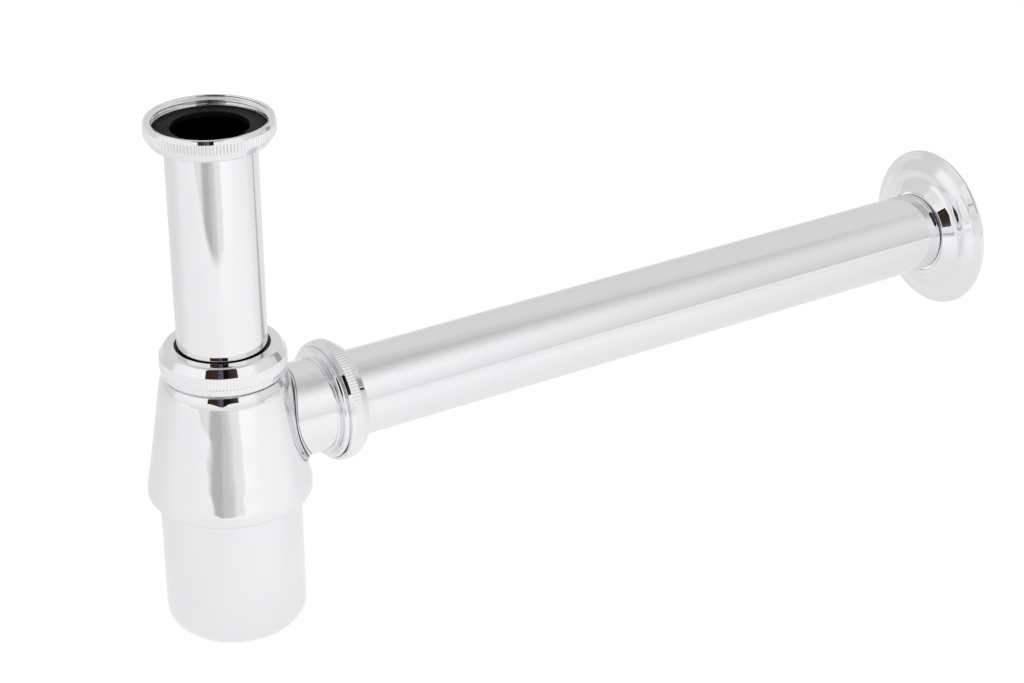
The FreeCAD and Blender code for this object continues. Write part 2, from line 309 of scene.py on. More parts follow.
def to_row_frame(axis: Axis, out: np.ndarray, along: np.ndarray, angle: np.ndarray) -> np.ndarray:
    """Turns places round an axis into points of the row frame.

    Args:
        axis: The axis they are measured on.
        out: Distances from it.
        along: Places along it.
        angle: Angles round it.

    Returns:
        An array whose last side holds x, y and z.
    """
    across = out * np.cos(angle)
    aside = out * np.sin(angle)
    along = np.broadcast_to(along, across.shape)
    if axis is Axis.INLET:
        return np.stack((across, aside, along), axis=-1)
    return np.stack((along, aside, outlet_height() - across), axis=-1)


def finish_mesh(name: str, points: np.ndarray, faces: list[tuple[int, ...]]) -> bpy.types.Object:
    """Makes a smooth closed mesh object out of points and faces.

    Args:
        name: The new piece's name.
        points: One row of x, y and z for each point.
        faces: Corner numbers of each face.

    Returns:
        The object, linked to the scene.
    """
    mesh = bpy.data.meshes.new(name)
    mesh.from_pydata(points.tolist(), [], faces)
    build = bmesh.new()
    build.from_mesh(mesh)
    loose = [vertex for vertex in build.verts if not vertex.link_faces]
    bmesh.ops.delete(build, geom=loose, context="VERTS")
    bmesh.ops.remove_doubles(build, verts=build.verts, dist=MERGE_GAP)
    bmesh.ops.recalc_face_normals(build, faces=build.faces)
    build.to_mesh(mesh)
    build.free()
    mesh.shade_smooth()
    piece = bpy.data.objects.new(name, mesh)
    bpy.context.scene.collection.objects.link(piece)
    return piece


def grid_faces(rows: int, columns: int, closed: bool) -> list[tuple[int, ...]]:
    """Quads of a grid that wraps round its columns.

    Args:
        rows: Rows of points.
        columns: Points in a row.
        closed: Whether the last row joins the first.

    Returns:
        Corner numbers of each quad.
    """
    faces = []
    for row in range(rows if closed else rows - 1):
        below = (row + 1) % rows
        for column in range(columns):
            beside = (column + 1) % columns
            faces.append((
                row * columns + column,
                row * columns + beside,
                below * columns + beside,
                below * columns + column,
            ))
    return faces


def turned_piece(
    name: str,
    section: list[Point],
    axis: Axis,
    closed: bool = True,
    angles: np.ndarray | None = None,
    relief: Relief | None = None,
) -> bpy.types.Object:
    """Turns a section about an axis.

    Args:
        name: The new piece's name.
        section: Points of the section.
        axis: The axis to turn it about.
        closed: Whether the section closes on itself and not on the axis.
        angles: Angles of the columns, evenly spaced where they aren't given.
        relief: Changes each point's distance from the axis, as knurls and threads do.

    Returns:
        The piece.
    """
    if angles is None:
        angles = np.linspace(0, 2 * math.pi, ROUND_STEPS, endpoint=False)
    out = np.repeat(np.array([point[0] for point in section])[:, None], len(angles), axis=1)
    along = np.array([point[1] for point in section])[:, None]
    around = angles[None, :]
    if relief is not None:
        out = relief(out, along, around)
    points = to_row_frame(axis, out, along, np.broadcast_to(around, out.shape))
    faces = grid_faces(len(section), len(angles), closed)
    return finish_mesh(name, points.reshape(-1, 3), faces)


def dress(piece: bpy.types.Object, node: str, body: str, finish: bpy.types.Material) -> None:
    """Gives a piece its finish and its place on the frame.

    Args:
        piece: The new piece.
        node: The solid that it stands for.
        body: The body that it rides on.
        finish: The finish itself.
    """
    piece.data.materials.append(finish)
    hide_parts(node)
    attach(piece, body)
    LOG.info("%s stands for %s with %d faces", piece.name, node, len(piece.data.polygons))


class Nodes:
    """A short way to add and join shader nodes in one tree."""

    def __init__(self, tree: bpy.types.NodeTree) -> None:
        """Takes the tree and clears it."""
        self.tree = tree
        tree.nodes.clear()

    def add(self, kind: str, settings: dict | None = None, **inputs: object) -> bpy.types.Node:
        """Adds a node.

        Args:
            kind: The node's type name, without its Shader prefix.
            settings: Attributes of the node itself.
            **inputs: Values or output sockets for its inputs, with _ for spaces.

        Returns:
            The node.
        """
        node = self.tree.nodes.new(kind if kind.startswith("Node") else f"ShaderNode{kind}")
        for name, value in (settings or {}).items():
            setattr(node, name, value)
        for name, value in inputs.items():
            self.feed(node, name.replace("_", " "), value)
        return node

    def feed(self, node: bpy.types.Node, name: str | int, value: object) -> None:
        """Sets an input to a value, or links it to a socket.

        Args:
            node: The node to feed.
            name: The input's name or number.
            value: A value or an output socket.
        """
        if isinstance(value, bpy.types.NodeSocket):
            self.tree.links.new(value, node.inputs[name])
        else:
            node.inputs[name].default_value = value

    def group(self, tree: bpy.types.NodeTree, **inputs: object) -> bpy.types.NodeSocket:
        """Places a shared group with its own values and returns what it puts out."""
        return self.add("Group", {"node_tree": tree}, **inputs).outputs[0]

    def math(self, operation: str, *values: object) -> bpy.types.NodeSocket:
        """Adds a Math node.

        Args:
            operation: What it works out.
            *values: Numbers or sockets, in order.

        Returns:
            Its result.
        """
        node = self.add("Math", {"operation": operation})
        for index, value in enumerate(values):
            self.feed(node, index, value)
        return node.outputs[0]

    def dot(self, place: bpy.types.NodeSocket, way: Vector) -> bpy.types.NodeSocket:
        """Adds a dot product.

        Args:
            place: A place or a way that varies.
            way: The fixed way to measure it along.

        Returns:
            How far it lies along that way.
        """
        node = self.add("VectorMath", {"operation": "DOT_PRODUCT"})
        self.feed(node, 0, place)
        self.feed(node, 1, way)
        return node.outputs["Value"]

    def ease(
        self, value: bpy.types.NodeSocket, reach: tuple[object, object], tones: tuple[object, object],
    ) -> bpy.types.NodeSocket:
        """Adds a smooth step.

        Args:
            value: What it steps on.
            reach: Where the step starts and ends.
            tones: What it gives before and after.

        Returns:
            The step's output.
        """
        node = self.add("MapRange", {"interpolation_type": "SMOOTHSTEP"}, Value=value)
        for name, number in zip(("From Min", "From Max", "To Min", "To Max"), (*reach, *tones)):
            self.feed(node, name, number)
        return node.outputs["Result"]

    def mix(self, share: bpy.types.NodeSocket, first: object, second: object) -> bpy.types.NodeSocket:
        """Adds a colour mix.

        Args:
            share: How much of the second colour shows.
            first: A colour or a socket.
            second: A colour or a socket.

        Returns:
            The mixed colour.
        """
        node = self.add("Mix", {"data_type": "RGBA"}, Factor=share)
        inputs = [number for number, socket in enumerate(node.inputs) if socket.type == "RGBA"]
        for number, value in zip(inputs, (first, second)):
            self.feed(node, number, value)
        return next(socket for socket in node.outputs if socket.type == "RGBA")

    def ramp(self, value: bpy.types.NodeSocket, stops: list[tuple[float, Colour]]) -> bpy.types.NodeSocket:
        """Adds a ramp of colours.

        Args:
            value: What the ramp runs over.
            stops: A place and its colour for each stop, in order.

        Returns:
            The ramp's colour.
        """
        first, last = stops[0][0], stops[-1][0]
        share = self.add("MapRange", Value=value, From_Min=first, From_Max=last).outputs["Result"]
        node = self.add("ValToRGB", Fac=share)
        elements = node.color_ramp.elements
        while len(elements) < len(stops):
            elements.new(1.0)
        for element, (place, colour) in zip(elements, stops):
            element.position = (place - first) / (last - first)
            element.color = colour
        return node.outputs["Color"]

    def greys(self, value: bpy.types.NodeSocket, stops: Stops) -> bpy.types.NodeSocket:
        """Adds a ramp of greys and returns its colour."""
        return self.ramp(value, [(place, grey(level)) for place, level in stops])


def new_material(name: str) -> tuple[bpy.types.Material, Nodes]:
    """Makes an empty material.

    Args:
        name: The material's name.

    Returns:
        The material and the builder of its nodes.
    """
    material = bpy.data.materials.new(name)
    material.use_nodes = True
    return material, Nodes(material.node_tree)


def shared_group(
    name: str, inputs: dict[str, tuple[str, object]], outputs: dict[str, str],
) -> tuple[bpy.types.NodeTree, Nodes, Sockets, Sockets]:
    """Makes an empty shader node group with named sockets.

    Args:
        name: The group's name.
        inputs: Each input's socket kind and first value.
        outputs: Each output's socket kind.

    Returns:
        The group, its builder, its inside sockets and its outside sockets.
    """
    group = bpy.data.node_groups.new(name, "ShaderNodeTree")
    for label, (kind, value) in inputs.items():
        socket = group.interface.new_socket(label, in_out="INPUT", socket_type=f"NodeSocket{kind}")
        if value is not None:
            socket.default_value = value
    for label, kind in outputs.items():
        group.interface.new_socket(label, in_out="OUTPUT", socket_type=f"NodeSocket{kind}")
    nodes = Nodes(group)
    inside = nodes.add("NodeGroupInput").outputs
    outside = nodes.add("NodeGroupOutput").inputs
    return group, nodes, inside, outside


# How much closer the grain lies than the waves, and the cloud levels between which haze sets in
GRAIN_RATIO = 9.0
HAZE_LEVELS = (0.42, 0.72)


def ripple_group() -> bpy.types.NodeTree:
    """Soft waves that polishing leaves under the plating.

    Returns:
        A group that puts out a Height.
    """
    inputs = {"Place": ("Vector", None), "Scale": ("Float", 60.0), "Grain": ("Float", 0.1)}
    group, nodes, inside, outside = shared_group("polish_ripple", inputs, {"Height": "Float"})
    broad = nodes.add("TexNoise", Vector=inside["Place"], Scale=inside["Scale"], Detail=1.0)
    fine_scale = nodes.math("MULTIPLY", inside["Scale"], GRAIN_RATIO)
    fine = nodes.add("TexNoise", Vector=inside["Place"], Scale=fine_scale, Detail=2.0)
    weighted = nodes.math("MULTIPLY", fine.outputs["Fac"], inside["Grain"])
    height = nodes.math("ADD", broad.outputs["Fac"], weighted)
    nodes.tree.links.new(height, outside["Height"])
    return group


def haze_group() -> bpy.types.NodeTree:
    """Faint handling haze, as a roughness that varies over the surface.

    Returns:
        A group that puts out a Roughness.
    """
    inputs = {
        "Place": ("Vector", None),
        "Scale": ("Float", 45.0),
        "Clean": ("Float", 0.02),
        "Hazed": ("Float", 0.08),
    }
    group, nodes, inside, outside = shared_group("handling_haze", inputs, {"Roughness": "Float"})
    cloud = nodes.add(
        "TexNoise", Vector=inside["Place"], Scale=inside["Scale"], Detail=4.0, Roughness=0.6, Distortion=0.4,
    )
    spread = nodes.ease(cloud.outputs["Fac"], HAZE_LEVELS, (inside["Clean"], inside["Hazed"]))
    nodes.tree.links.new(spread, outside["Roughness"])
    return group


def tool_line_group() -> bpy.types.NodeTree:
    """The finest lines that turning or drawing leaves, from one coordinate across them.

    Returns:
        A group that puts out a Height.
    """
    inputs = {"Across": ("Float", 0.0), "Lines": ("Float", 4000.0)}
    group, nodes, inside, outside = shared_group("tool_lines", inputs, {"Height": "Float"})
    counted = nodes.math("MULTIPLY", inside["Across"], inside["Lines"])
    lines = nodes.add("TexNoise", {"noise_dimensions": "1D"}, W=counted, Scale=1.0, Detail=3.0, Roughness=0.7)
    nodes.tree.links.new(lines.outputs["Fac"], outside["Height"])
    return group


def tint_group() -> bpy.types.NodeTree:
    """A slow drift between two near colours, as plating and rubber have.

    Returns:
        A group that puts out a Color.
    """
    inputs = {
        "Place": ("Vector", None),
        "Scale": ("Float", 30.0),
        "First": ("Color", grey(0.5)),
        "Second": ("Color", grey(0.5)),
    }
    group, nodes, inside, outside = shared_group("slow_tint", inputs, {"Color": "Color"})
    cloud = nodes.add("TexNoise", Vector=inside["Place"], Scale=inside["Scale"], Detail=2.0)
    mixed = nodes.mix(cloud.outputs["Fac"], inside["First"], inside["Second"])
    nodes.tree.links.new(mixed, outside["Color"])
    return group


@dataclass(frozen=True)
class Effects:
    """The effects that the finishes share."""

    ripple: bpy.types.NodeTree
    haze: bpy.types.NodeTree
    lines: bpy.types.NodeTree
    tint: bpy.types.NodeTree

    @classmethod
    def build(cls) -> "Effects":
        """Builds each group once."""
        return cls(ripple_group(), haze_group(), tool_line_group(), tint_group())


@dataclass(frozen=True)
class ChromeFinish:
    """Bright chrome plate over brass.

    Args:
        name: The material's name.
        mark: Which way the finest lines run.
        first: One near colour of the plate.
        second: The other.
        clean: Roughness where it is clean.
        hazed: Roughness where it is handled.
        ripple_scale: Waves to the metre.
        ripple_depth: Height of the polishing waves.
        ripple_ways: How close the waves lie along X, Y and Z.
        grain: Share of fine grain on the waves.
        line_depth: Height of the finest lines.
        axis: The axis that turned or drawn lines follow.
    """

    name: str
    mark: ToolMark
    first: Colour = (0.86, 0.86, 0.87, 1.0)
    second: Colour = (0.83, 0.83, 0.85, 1.0)
    clean: float = 0.02
    hazed: float = 0.06
    ripple_scale: float = 45.0
    ripple_depth: float = 0.012 * MM
    ripple_ways: tuple[float, float, float] = (1.0, 1.0, 1.0)
    grain: float = 0.01
    line_depth: float = 0.0006 * MM
    axis: Axis = Axis.INLET

    def build(self, effects: Effects) -> bpy.types.Material:
        """Makes the material.

        Args:
            effects: The shared groups.

        Returns:
            The material.
        """
        material, nodes = new_material(self.name)
        place = nodes.add("TexCoord").outputs["Object"]
        tint = nodes.group(effects.tint, Place=place, First=self.first, Second=self.second)
        haze = nodes.group(effects.haze, Place=place, Clean=self.clean, Hazed=self.hazed)
        drawn_out = nodes.add("VectorMath", {"operation": "MULTIPLY"})
        nodes.feed(drawn_out, 0, place)
        nodes.feed(drawn_out, 1, self.ripple_ways)
        stretched = drawn_out.outputs[0]
        waves = nodes.group(effects.ripple, Place=stretched, Scale=self.ripple_scale, Grain=self.grain)
        normal = nodes.add("Bump", Strength=1.0, Distance=self.ripple_depth, Height=waves).outputs["Normal"]
        if self.mark is not ToolMark.BUFFED:
            lines = nodes.group(effects.lines, Across=self.across_lines(nodes, place))
            bump = nodes.add("Bump", Strength=1.0, Distance=self.line_depth, Height=lines, Normal=normal)
            normal = bump.outputs["Normal"]
        plate = nodes.add("BsdfPrincipled", Metallic=1.0, Roughness=haze, Normal=normal)
        nodes.feed(plate, "Base Color", self.plate_colour(nodes, tint))
        nodes.add("OutputMaterial", Surface=plate.outputs["BSDF"])
        return material

    def plate_colour(self, nodes: Nodes, tint: bpy.types.NodeSocket) -> bpy.types.NodeSocket:
        """The plate's colour, which is the drifting tint alone."""
        return tint

    def across_lines(self, nodes: Nodes, place: bpy.types.NodeSocket) -> bpy.types.NodeSocket:
        """The coordinate that runs across the finest lines.

        Args:
            nodes: The material's tree.
            place: Object coordinates.

        Returns:
            Height or length along the axis on turned metal, and angle round it on drawn metal.
        """
        parts = nodes.add("SeparateXYZ", Vector=place).outputs
        if self.axis is Axis.INLET:
            first, second, along = parts["X"], parts["Y"], parts["Z"]
        else:
            first, along = parts["Y"], parts["X"]
            second = nodes.math("SUBTRACT", parts["Z"], outlet_height())
        if self.mark is ToolMark.TURNED:
            return along
        return nodes.math("MULTIPLY", nodes.math("ARCTAN2", first, second), PIPE_R)


@dataclass(frozen=True)
class CastFinish(ChromeFinish):
    """Chrome over the cast bell, with painted shade in the corner round its spigot.

    Args:
        painted_corner_shade: The colour of the painted shade in the corner.
    """

    # Near black: the painted shade that darkens the corner round the spigot
    painted_corner_shade: Colour = (0.02, 0.02, 0.024, 1.0)

    def plate_colour(self, nodes: Nodes, tint: bpy.types.NodeSocket) -> bpy.types.NodeSocket:
        """The drifting tint, with painted shade where the mesh is marked."""
        # The mark paints shade into the root's corner, in dark bands
        mark = nodes.add("Attribute", {"attribute_name": ROOT_SHADE_MARK}).outputs["Fac"]
        return nodes.mix(mark, tint, self.painted_corner_shade)


@dataclass(frozen=True)
class MouldedFinish:
    """Moulded rubber or plastic with a fine grain.

    Args:
        name: The material's name.
        first: One near colour.
        second: The other.
        clean: Roughness where it is rubbed.
        hazed: Roughness where it is dull.
        gloss: Strength of its plain reflection.
        grain_scale: Grains to the metre.
        grain: Share of the finest grain.
        grain_depth: Height of the grain.
    """

    name: str
    first: Colour
    second: Colour
    clean: float
    hazed: float
    gloss: float
    grain_scale: float = 900.0
    grain: float = 0.4
    grain_depth: float = 0.02 * MM

    def build(self, effects: Effects) -> bpy.types.Material:
        """Makes the material.

        Args:
            effects: The shared groups.

        Returns:
            The material.
        """
        material, nodes = new_material(self.name)
        place = nodes.add("TexCoord").outputs["Object"]
        tint = nodes.group(effects.tint, Place=place, First=self.first, Second=self.second)
        haze = nodes.group(effects.haze, Place=place, Clean=self.clean, Hazed=self.hazed)
        grains = nodes.group(effects.ripple, Place=place, Scale=self.grain_scale, Grain=self.grain)
        normal = nodes.add("Bump", Strength=1.0, Distance=self.grain_depth, Height=grains).outputs["Normal"]
        skin = nodes.add(
            "BsdfPrincipled", Base_Color=tint, Roughness=haze, Specular_IOR_Level=self.gloss, Normal=normal,
        )
        nodes.add("OutputMaterial", Surface=skin.outputs["BSDF"])
        return material


@dataclass(frozen=True)
class Finishes:
    """All the finishes of the trap, ready to use."""

    cast: bpy.types.Material
    spun: bpy.types.Material
    inlet_pipe: bpy.types.Material
    outlet_pipe: bpy.types.Material
    upright_nut: bpy.types.Material
    outlet_nut: bpy.types.Material
    pressed: bpy.types.Material
    inside_plate_and_shade: bpy.types.Material
    rubber: bpy.types.Material
    plastic: bpy.types.Material

    @classmethod
    def build(cls) -> "Finishes":
        """Builds every finish once.

        Returns:
            The finishes.
        """
        effects = Effects.build()
        chrome = (
            CastFinish(
                "chrome_cast_body", ToolMark.BUFFED, ripple_scale=110.0, ripple_depth=0.3 * MM,
                ripple_ways=(1.0, 1.0, 0.45),
            ),
            ChromeFinish("chrome_spun_cup", ToolMark.TURNED),
            ChromeFinish("chrome_inlet_pipe", ToolMark.DRAWN),
            ChromeFinish("chrome_outlet_pipe", ToolMark.DRAWN, axis=Axis.OUTLET),
            ChromeFinish("chrome_upright_nut", ToolMark.TURNED),
            ChromeFinish("chrome_outlet_nut", ToolMark.TURNED, axis=Axis.OUTLET),
            ChromeFinish("chrome_pressed_sheet", ToolMark.BUFFED, ripple_scale=60.0),
            # Near black: partly the duller plate inside the flange, partly painted shade for the gap round
            # the pipe
            ChromeFinish(
                "chrome_sheet_inside", ToolMark.BUFFED, (0.09, 0.088, 0.086, 1.0), (0.06, 0.058, 0.056, 1.0),
                clean=0.35, hazed=0.55,
            ),
        )
        rubber = MouldedFinish(
            "rubber_black", (0.004, 0.004, 0.0045, 1.0), (0.008, 0.008, 0.0085, 1.0), clean=0.4, hazed=0.6,
            gloss=0.08,
        )
        plastic = MouldedFinish(
            "plastic_slip", (0.028, 0.028, 0.03, 1.0), (0.04, 0.04, 0.042, 1.0), clean=0.4, hazed=0.6,
            gloss=0.4,
        )
        return cls(*(finish.build(effects) for finish in (*chrome, rubber, plastic)))


@dataclass
class KnurledNut:
    """A union nut with a straight knurl, measured from its open end.

    Args:
        node: The solid that it stands for.
        axis: The axis that it turns about.
        opens_up: Whether its open end is the far one along the axis.
        rim_band: Length of the bevel at the open end.
        knurl_width: Length of the knurl.
        pocket_depth: Length of the plain wall between thread and floor, if it has one.
        groove_share: Width of a groove as a share of a tooth's pitch.
        tooth_steps: Where the columns lie across a tooth's pitch, from the groove's middle.
    """

    node: str
    axis: Axis
    opens_up: bool = False
    rim_band: float = 1.5 * MM
    knurl_width: float = 3.4 * MM
    pocket_depth: float = 0.0
    pocket_r: float = 19.7 * MM
    rim_wall: float = 0.95 * MM
    crest_wall: float = 1.495 * MM
    floor_thickness: float = 1.75 * MM
    hole_r: float = 16.9 * MM
    face_width: float = 3.4 * MM
    face_round: float = 1.5 * MM
    rim_round: float = 0.45 * MM
    crest_round: float = 0.8 * MM
    mouth_round: float = 0.25 * MM
    hole_round: float = 0.2 * MM
    teeth: int = 120
    tooth_depth: float = 0.4 * MM
    groove_share: float = 0.72
    tooth_steps: tuple[float, ...] = (0.0, 0.33, 0.39, 0.61, 0.67)

    def span(self) -> tuple[float, float]:
        """The nut's two ends along its axis, from the frame.

        Returns:
            The lower end and the higher one.
        """
        low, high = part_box(self.node)
        if self.axis is Axis.INLET:
            return low.z, high.z
        return low.x, high.x

    def along(self, height: float) -> float:
        """Turns a height above the open end into a place along the axis."""
        low, high = self.span()
        return high - height if self.opens_up else low + height

    def section(self) -> list[Point]:
        """The nut's section, with rows for its thread.

        Returns:
            Its points, from the mouth round the outside to the bore.
        """
        low, high = self.span()
        height = high - low
        crest = THREAD_R + self.crest_wall
        floor = height - self.floor_thickness
        corners = [
            (THREAD_R, 0.0, self.mouth_round),
            (THREAD_R + self.rim_wall, 0.0, self.rim_round),
            (crest, self.rim_band, self.crest_round),
            (crest, self.rim_band + self.knurl_width, self.crest_round),
            (self.hole_r + self.face_width, height, self.face_round),
            (self.hole_r, height, self.hole_round),
            (self.hole_r, floor, EDGE_ROUND),
        ]
        if self.pocket_depth:
            thread_end = floor - self.pocket_depth
            corners.append((self.pocket_r, floor, EDGE_ROUND))
            corners.append((self.pocket_r, thread_end, EDGE_ROUND))
            corners.append((THREAD_R, thread_end, EDGE_ROUND))
        else:
            corners.append((THREAD_R, floor, EDGE_ROUND))
        placed = [Corner(out, self.along(height), rounding) for out, height, rounding in corners]
        return dense_section(rounded_section(placed), THREAD_R, THREAD_ROW)

    def relief(self, out: np.ndarray, along: np.ndarray, angle: np.ndarray) -> np.ndarray:
        """Cuts the knurl into the crest and the thread into the bore.

        Args:
            out: Distances from the axis before the cuts.
            along: Places along it.
            angle: Angles round it.

        Returns:
            Distances after the cuts.
        """
        ends = sorted((self.along(self.rim_band), self.along(self.rim_band + self.knurl_width)))
        crest = THREAD_R + self.crest_wall
        in_band = (along > ends[0]) & (along < ends[1]) & (out > crest - HOLD_GAP)
        turn = angle * self.teeth / (2 * math.pi)
        from_groove = np.abs(turn - np.round(turn))
        depth = self.tooth_depth * np.clip(1 - from_groove / (self.groove_share / 2), 0, 1)
        cut = np.where(in_band, out - depth, out)
        low, high = sorted((self.along(0.0), self.along(self.thread_length())))
        on_thread = np.abs(out - THREAD_R) < MERGE_GAP
        return np.where(on_thread, cut - thread_wave(along, angle, low, high), cut)

    def thread_length(self) -> float:
        """Length of the threaded wall."""
        low, high = self.span()
        return high - low - self.floor_thickness - self.pocket_depth

    def build(self, name: str) -> bpy.types.Object:
        """Turns, knurls and threads the nut.

        Args:
            name: The new piece's name.

        Returns:
            The piece.
        """
        tooth = np.arange(self.teeth)[:, None] + np.array(self.tooth_steps)[None, :]
        angles = tooth.ravel() * 2 * math.pi / self.teeth
        return turned_piece(name, self.section(), self.axis, angles=angles, relief=self.relief)


@dataclass
class TrapBody:
    """The bell with its neck and spigot, heights measured from the outlet axis.

    Args:
        flare: How much the bell's cone hollows towards its skirt.
        columns: Columns round the bell.
        window_columns: Columns to each side of the spigot that give way to it.
        window_rows: Rows that give way to it, outside and in the cavity.
        cavity_window: Heights between which the cavity's rows give way.
        patch_steps: Shares of the way from the spigot's root to the window where rings lie.
        root_shade_marks: How dark the painted shade is on each ring of the root's round, from bell to spigot.
    """

    neck_top: float = 30.4 * MM
    mouth_depth: float = 3.9 * MM
    neck_bore_end: float = 19.4 * MM
    lip_height: float = 23.4 * MM
    lip_r: float = 21.405 * MM
    lip_round: float = 0.8 * MM
    bevel_r: float = 22.955 * MM
    bevel_height: float = 20.7 * MM
    bevel_round: float = 6.0 * MM
    skirt_r: float = 29.5 * MM
    band_height: float = -20.2 * MM
    band_round: float = 8.0 * MM
    skirt_height: float = -24.7 * MM
    skirt_round: float = 3.8 * MM
    flare: float = 1.4 * MM
    cup_socket_r: float = 25.7 * MM
    ledge_height: float = -17.9 * MM
    ledge_r: float = 23.4 * MM
    roof_r: float = 20.0 * MM
    roof_height: float = 15.9 * MM
    spigot_r: float = 17.25 * MM
    spigot_end: float = 42.9 * MM
    spigot_straight: float = 31.5 * MM
    bore_straight: float = 25.0 * MM
    collar_start: float = 36.4 * MM
    collar_round: float = 2.4 * MM
    collar_root_round: float = 0.8 * MM
    root_round: float = 2.0 * MM
    columns: int = 288
    window_columns: int = 50
    window_rows: int = 40
    cavity_window: tuple[float, float] = (-17.5 * MM, 18.6 * MM)
    patch_steps: tuple[float, ...] = (0.03, 0.12, 0.26, 0.45, 0.7)
    # Painted shade on the root's round: two dark bands with a bare line between them
    root_shade_marks: tuple[float, ...] = (0.6, 0.96, 0.97, 0.97, 0.96, 0.92, 0.6, 0.15, 0.0, 0.1, 0.6, 0.95, 0.0)

    def cone_out(self, height: np.ndarray) -> np.ndarray:
        """Distance of the bell's outside from the inlet axis at a height."""
        share = (self.bevel_height - height) / (self.bevel_height - self.band_height)
        return self.bevel_r + share * (self.skirt_r - self.bevel_r) - self.flare * share ** 2 * (1 - share)

    def cavity_out(self, height: np.ndarray) -> np.ndarray:
        """Distance of the cavity's wall from the inlet axis at a height."""
        heights = (self.ledge_height, self.roof_height, self.neck_bore_end)
        return np.interp(height, heights, (self.ledge_r, self.roof_r, SOCKET_R))

    def section(self) -> tuple[list[Point], tuple[int, int], tuple[int, int]]:
        """The bell's closed section.

        Returns:
            Its points, and the first and last rows of the windows in its outside and in its cavity.
        """
        low, high = self.cavity_window
        end_slope = (self.skirt_r - self.bevel_r + self.flare) / (self.bevel_height - self.band_height)
        lean = math.atan(end_slope)
        band_start = self.band_height + self.band_round * math.tan(lean / 2) * math.cos(lean) + 2 * HOLD_GAP
        outside = rounded_section([
            Corner(float(self.cavity_out(high)), high),
            Corner(SOCKET_R, self.neck_bore_end),
            Corner(SOCKET_R, self.neck_top - self.mouth_depth),
            Corner(MOUTH_R, self.neck_top),
            Corner(MALE_THREAD_R, self.neck_top),
            Corner(MALE_THREAD_R, self.lip_height),
            Corner(self.lip_r, self.lip_height, self.lip_round),
            Corner(self.bevel_r, self.bevel_height, self.bevel_round),
            Corner(self.skirt_r - self.band_round * end_slope, self.band_height + self.band_round),
            Corner(self.skirt_r, self.band_height, self.band_round),
            Corner(self.skirt_r, self.skirt_height, self.skirt_round),
            Corner(0.0, self.skirt_height),
        ], closed=False)[1:]
        outside = dense_section(outside, MALE_THREAD_R, THREAD_ROW)
        cone = max(range(len(outside) - 1), key=lambda index: outside[index][1] - outside[index + 1][1])
        cone_heights = np.linspace(outside[cone][1], band_start, self.window_rows + 1)
        cone_rows = [(float(self.cone_out(height)), float(height)) for height in cone_heights]
        below = [
            point for point in outside[cone + 1:] if point[1] < band_start and point[0] > self.cup_socket_r
        ]
        drop = self.skirt_r - self.skirt_round - self.cup_socket_r
        edge = self.skirt_height + self.skirt_round - math.sqrt(self.skirt_round ** 2 - drop ** 2)
        inside = rounded_section([
            Corner(self.cup_socket_r, edge),
            Corner(self.cup_socket_r, self.ledge_height),
            Corner(self.ledge_r, self.ledge_height),
            Corner(float(self.cavity_out(low)), low),
        ], closed=False)[:-1]
        wall_heights = np.linspace(low, high, self.window_rows + 1)
        wall_rows = [(float(self.cavity_out(height)), float(height)) for height in wall_heights]
        above = outside[:cone]
        rows = above + cone_rows + below + inside + wall_rows
        cone_window = (len(above), len(above) + self.window_rows)
        wall_window = (len(rows) - self.window_rows - 1, len(rows) - 1)
        return rows, cone_window, wall_window

    def root_balls(self, theta: np.ndarray) -> tuple[np.ndarray, np.ndarray, np.ndarray]:
        """A ball rolled along the corner between bell and spigot.

        Args:
            theta: Angles round the spigot.

        Returns:
            The ball's centres, the bell's normals there and the spigot's.
        """
        slope = math.atan2(self.skirt_r - self.bevel_r, self.bevel_height - self.band_height)
        aside = (self.spigot_r + self.root_round) * np.cos(theta)
        height = (self.spigot_r + self.root_round) * np.sin(theta)
        out = self.cone_out(height) + self.root_round / math.cos(slope)
        ahead = np.sqrt(out ** 2 - aside ** 2)
        centres = np.stack((ahead, aside, height), axis=-1)
        leaning = np.full_like(out, math.tan(slope))
        bell = np.stack((ahead / out, aside / out, leaning), axis=-1) * math.cos(slope)
        spigot = np.stack((np.zeros_like(theta), np.cos(theta), np.sin(theta)), axis=-1)
        return centres, bell, spigot

    def root_rings(self, theta: np.ndarray) -> list[np.ndarray]:
        """Rings of points from the bell over the root's round to the spigot.

        Args:
            theta: Angles round the spigot.

        Returns:
            The rings in order.
        """
        centres, bell, spigot = self.root_balls(theta)
        between = np.arccos(np.clip((bell * spigot).sum(axis=1), -1, 1))[:, None]
        rings = []
        for share in np.linspace(0, 1, len(self.root_shade_marks)):
            normal = bell * np.sin((1 - share) * between) + spigot * np.sin(share * between)
            rings.append(centres - self.root_round * normal / np.sin(between))
        return rings

    def spigot_rings(self, theta: np.ndarray) -> list[np.ndarray]:
        """Rings along the spigot's outside, round its end and back down its bore.

        Args:
            theta: Angles round the spigot.

        Returns:
            The rings in order.
        """
        path = rounded_section([
            Corner(self.spigot_r, self.spigot_straight),
            Corner(self.spigot_r, self.collar_start, self.collar_root_round),
            Corner(MALE_THREAD_R, self.collar_start, self.collar_round),
            Corner(MALE_THREAD_R, self.spigot_end),
            Corner(MOUTH_R, self.spigot_end),
            Corner(SOCKET_R, self.spigot_end - self.mouth_depth),
            Corner(SOCKET_R, self.bore_straight),
        ], closed=False)
        path = dense_section(path, MALE_THREAD_R, THREAD_ROW)
        thread_start = self.collar_start + self.collar_round + 2 * THREAD_FADE
        rings = []
        for out, along in path:
            radius = np.full_like(theta, out)
            if abs(out - MALE_THREAD_R) < MERGE_GAP:
                radius = radius - thread_wave(np.array(along), theta, thread_start, self.spigot_end)
            ahead = np.full_like(theta, along)
            rings.append(np.stack((ahead, radius * np.cos(theta), radius * np.sin(theta)), axis=-1))
        return rings

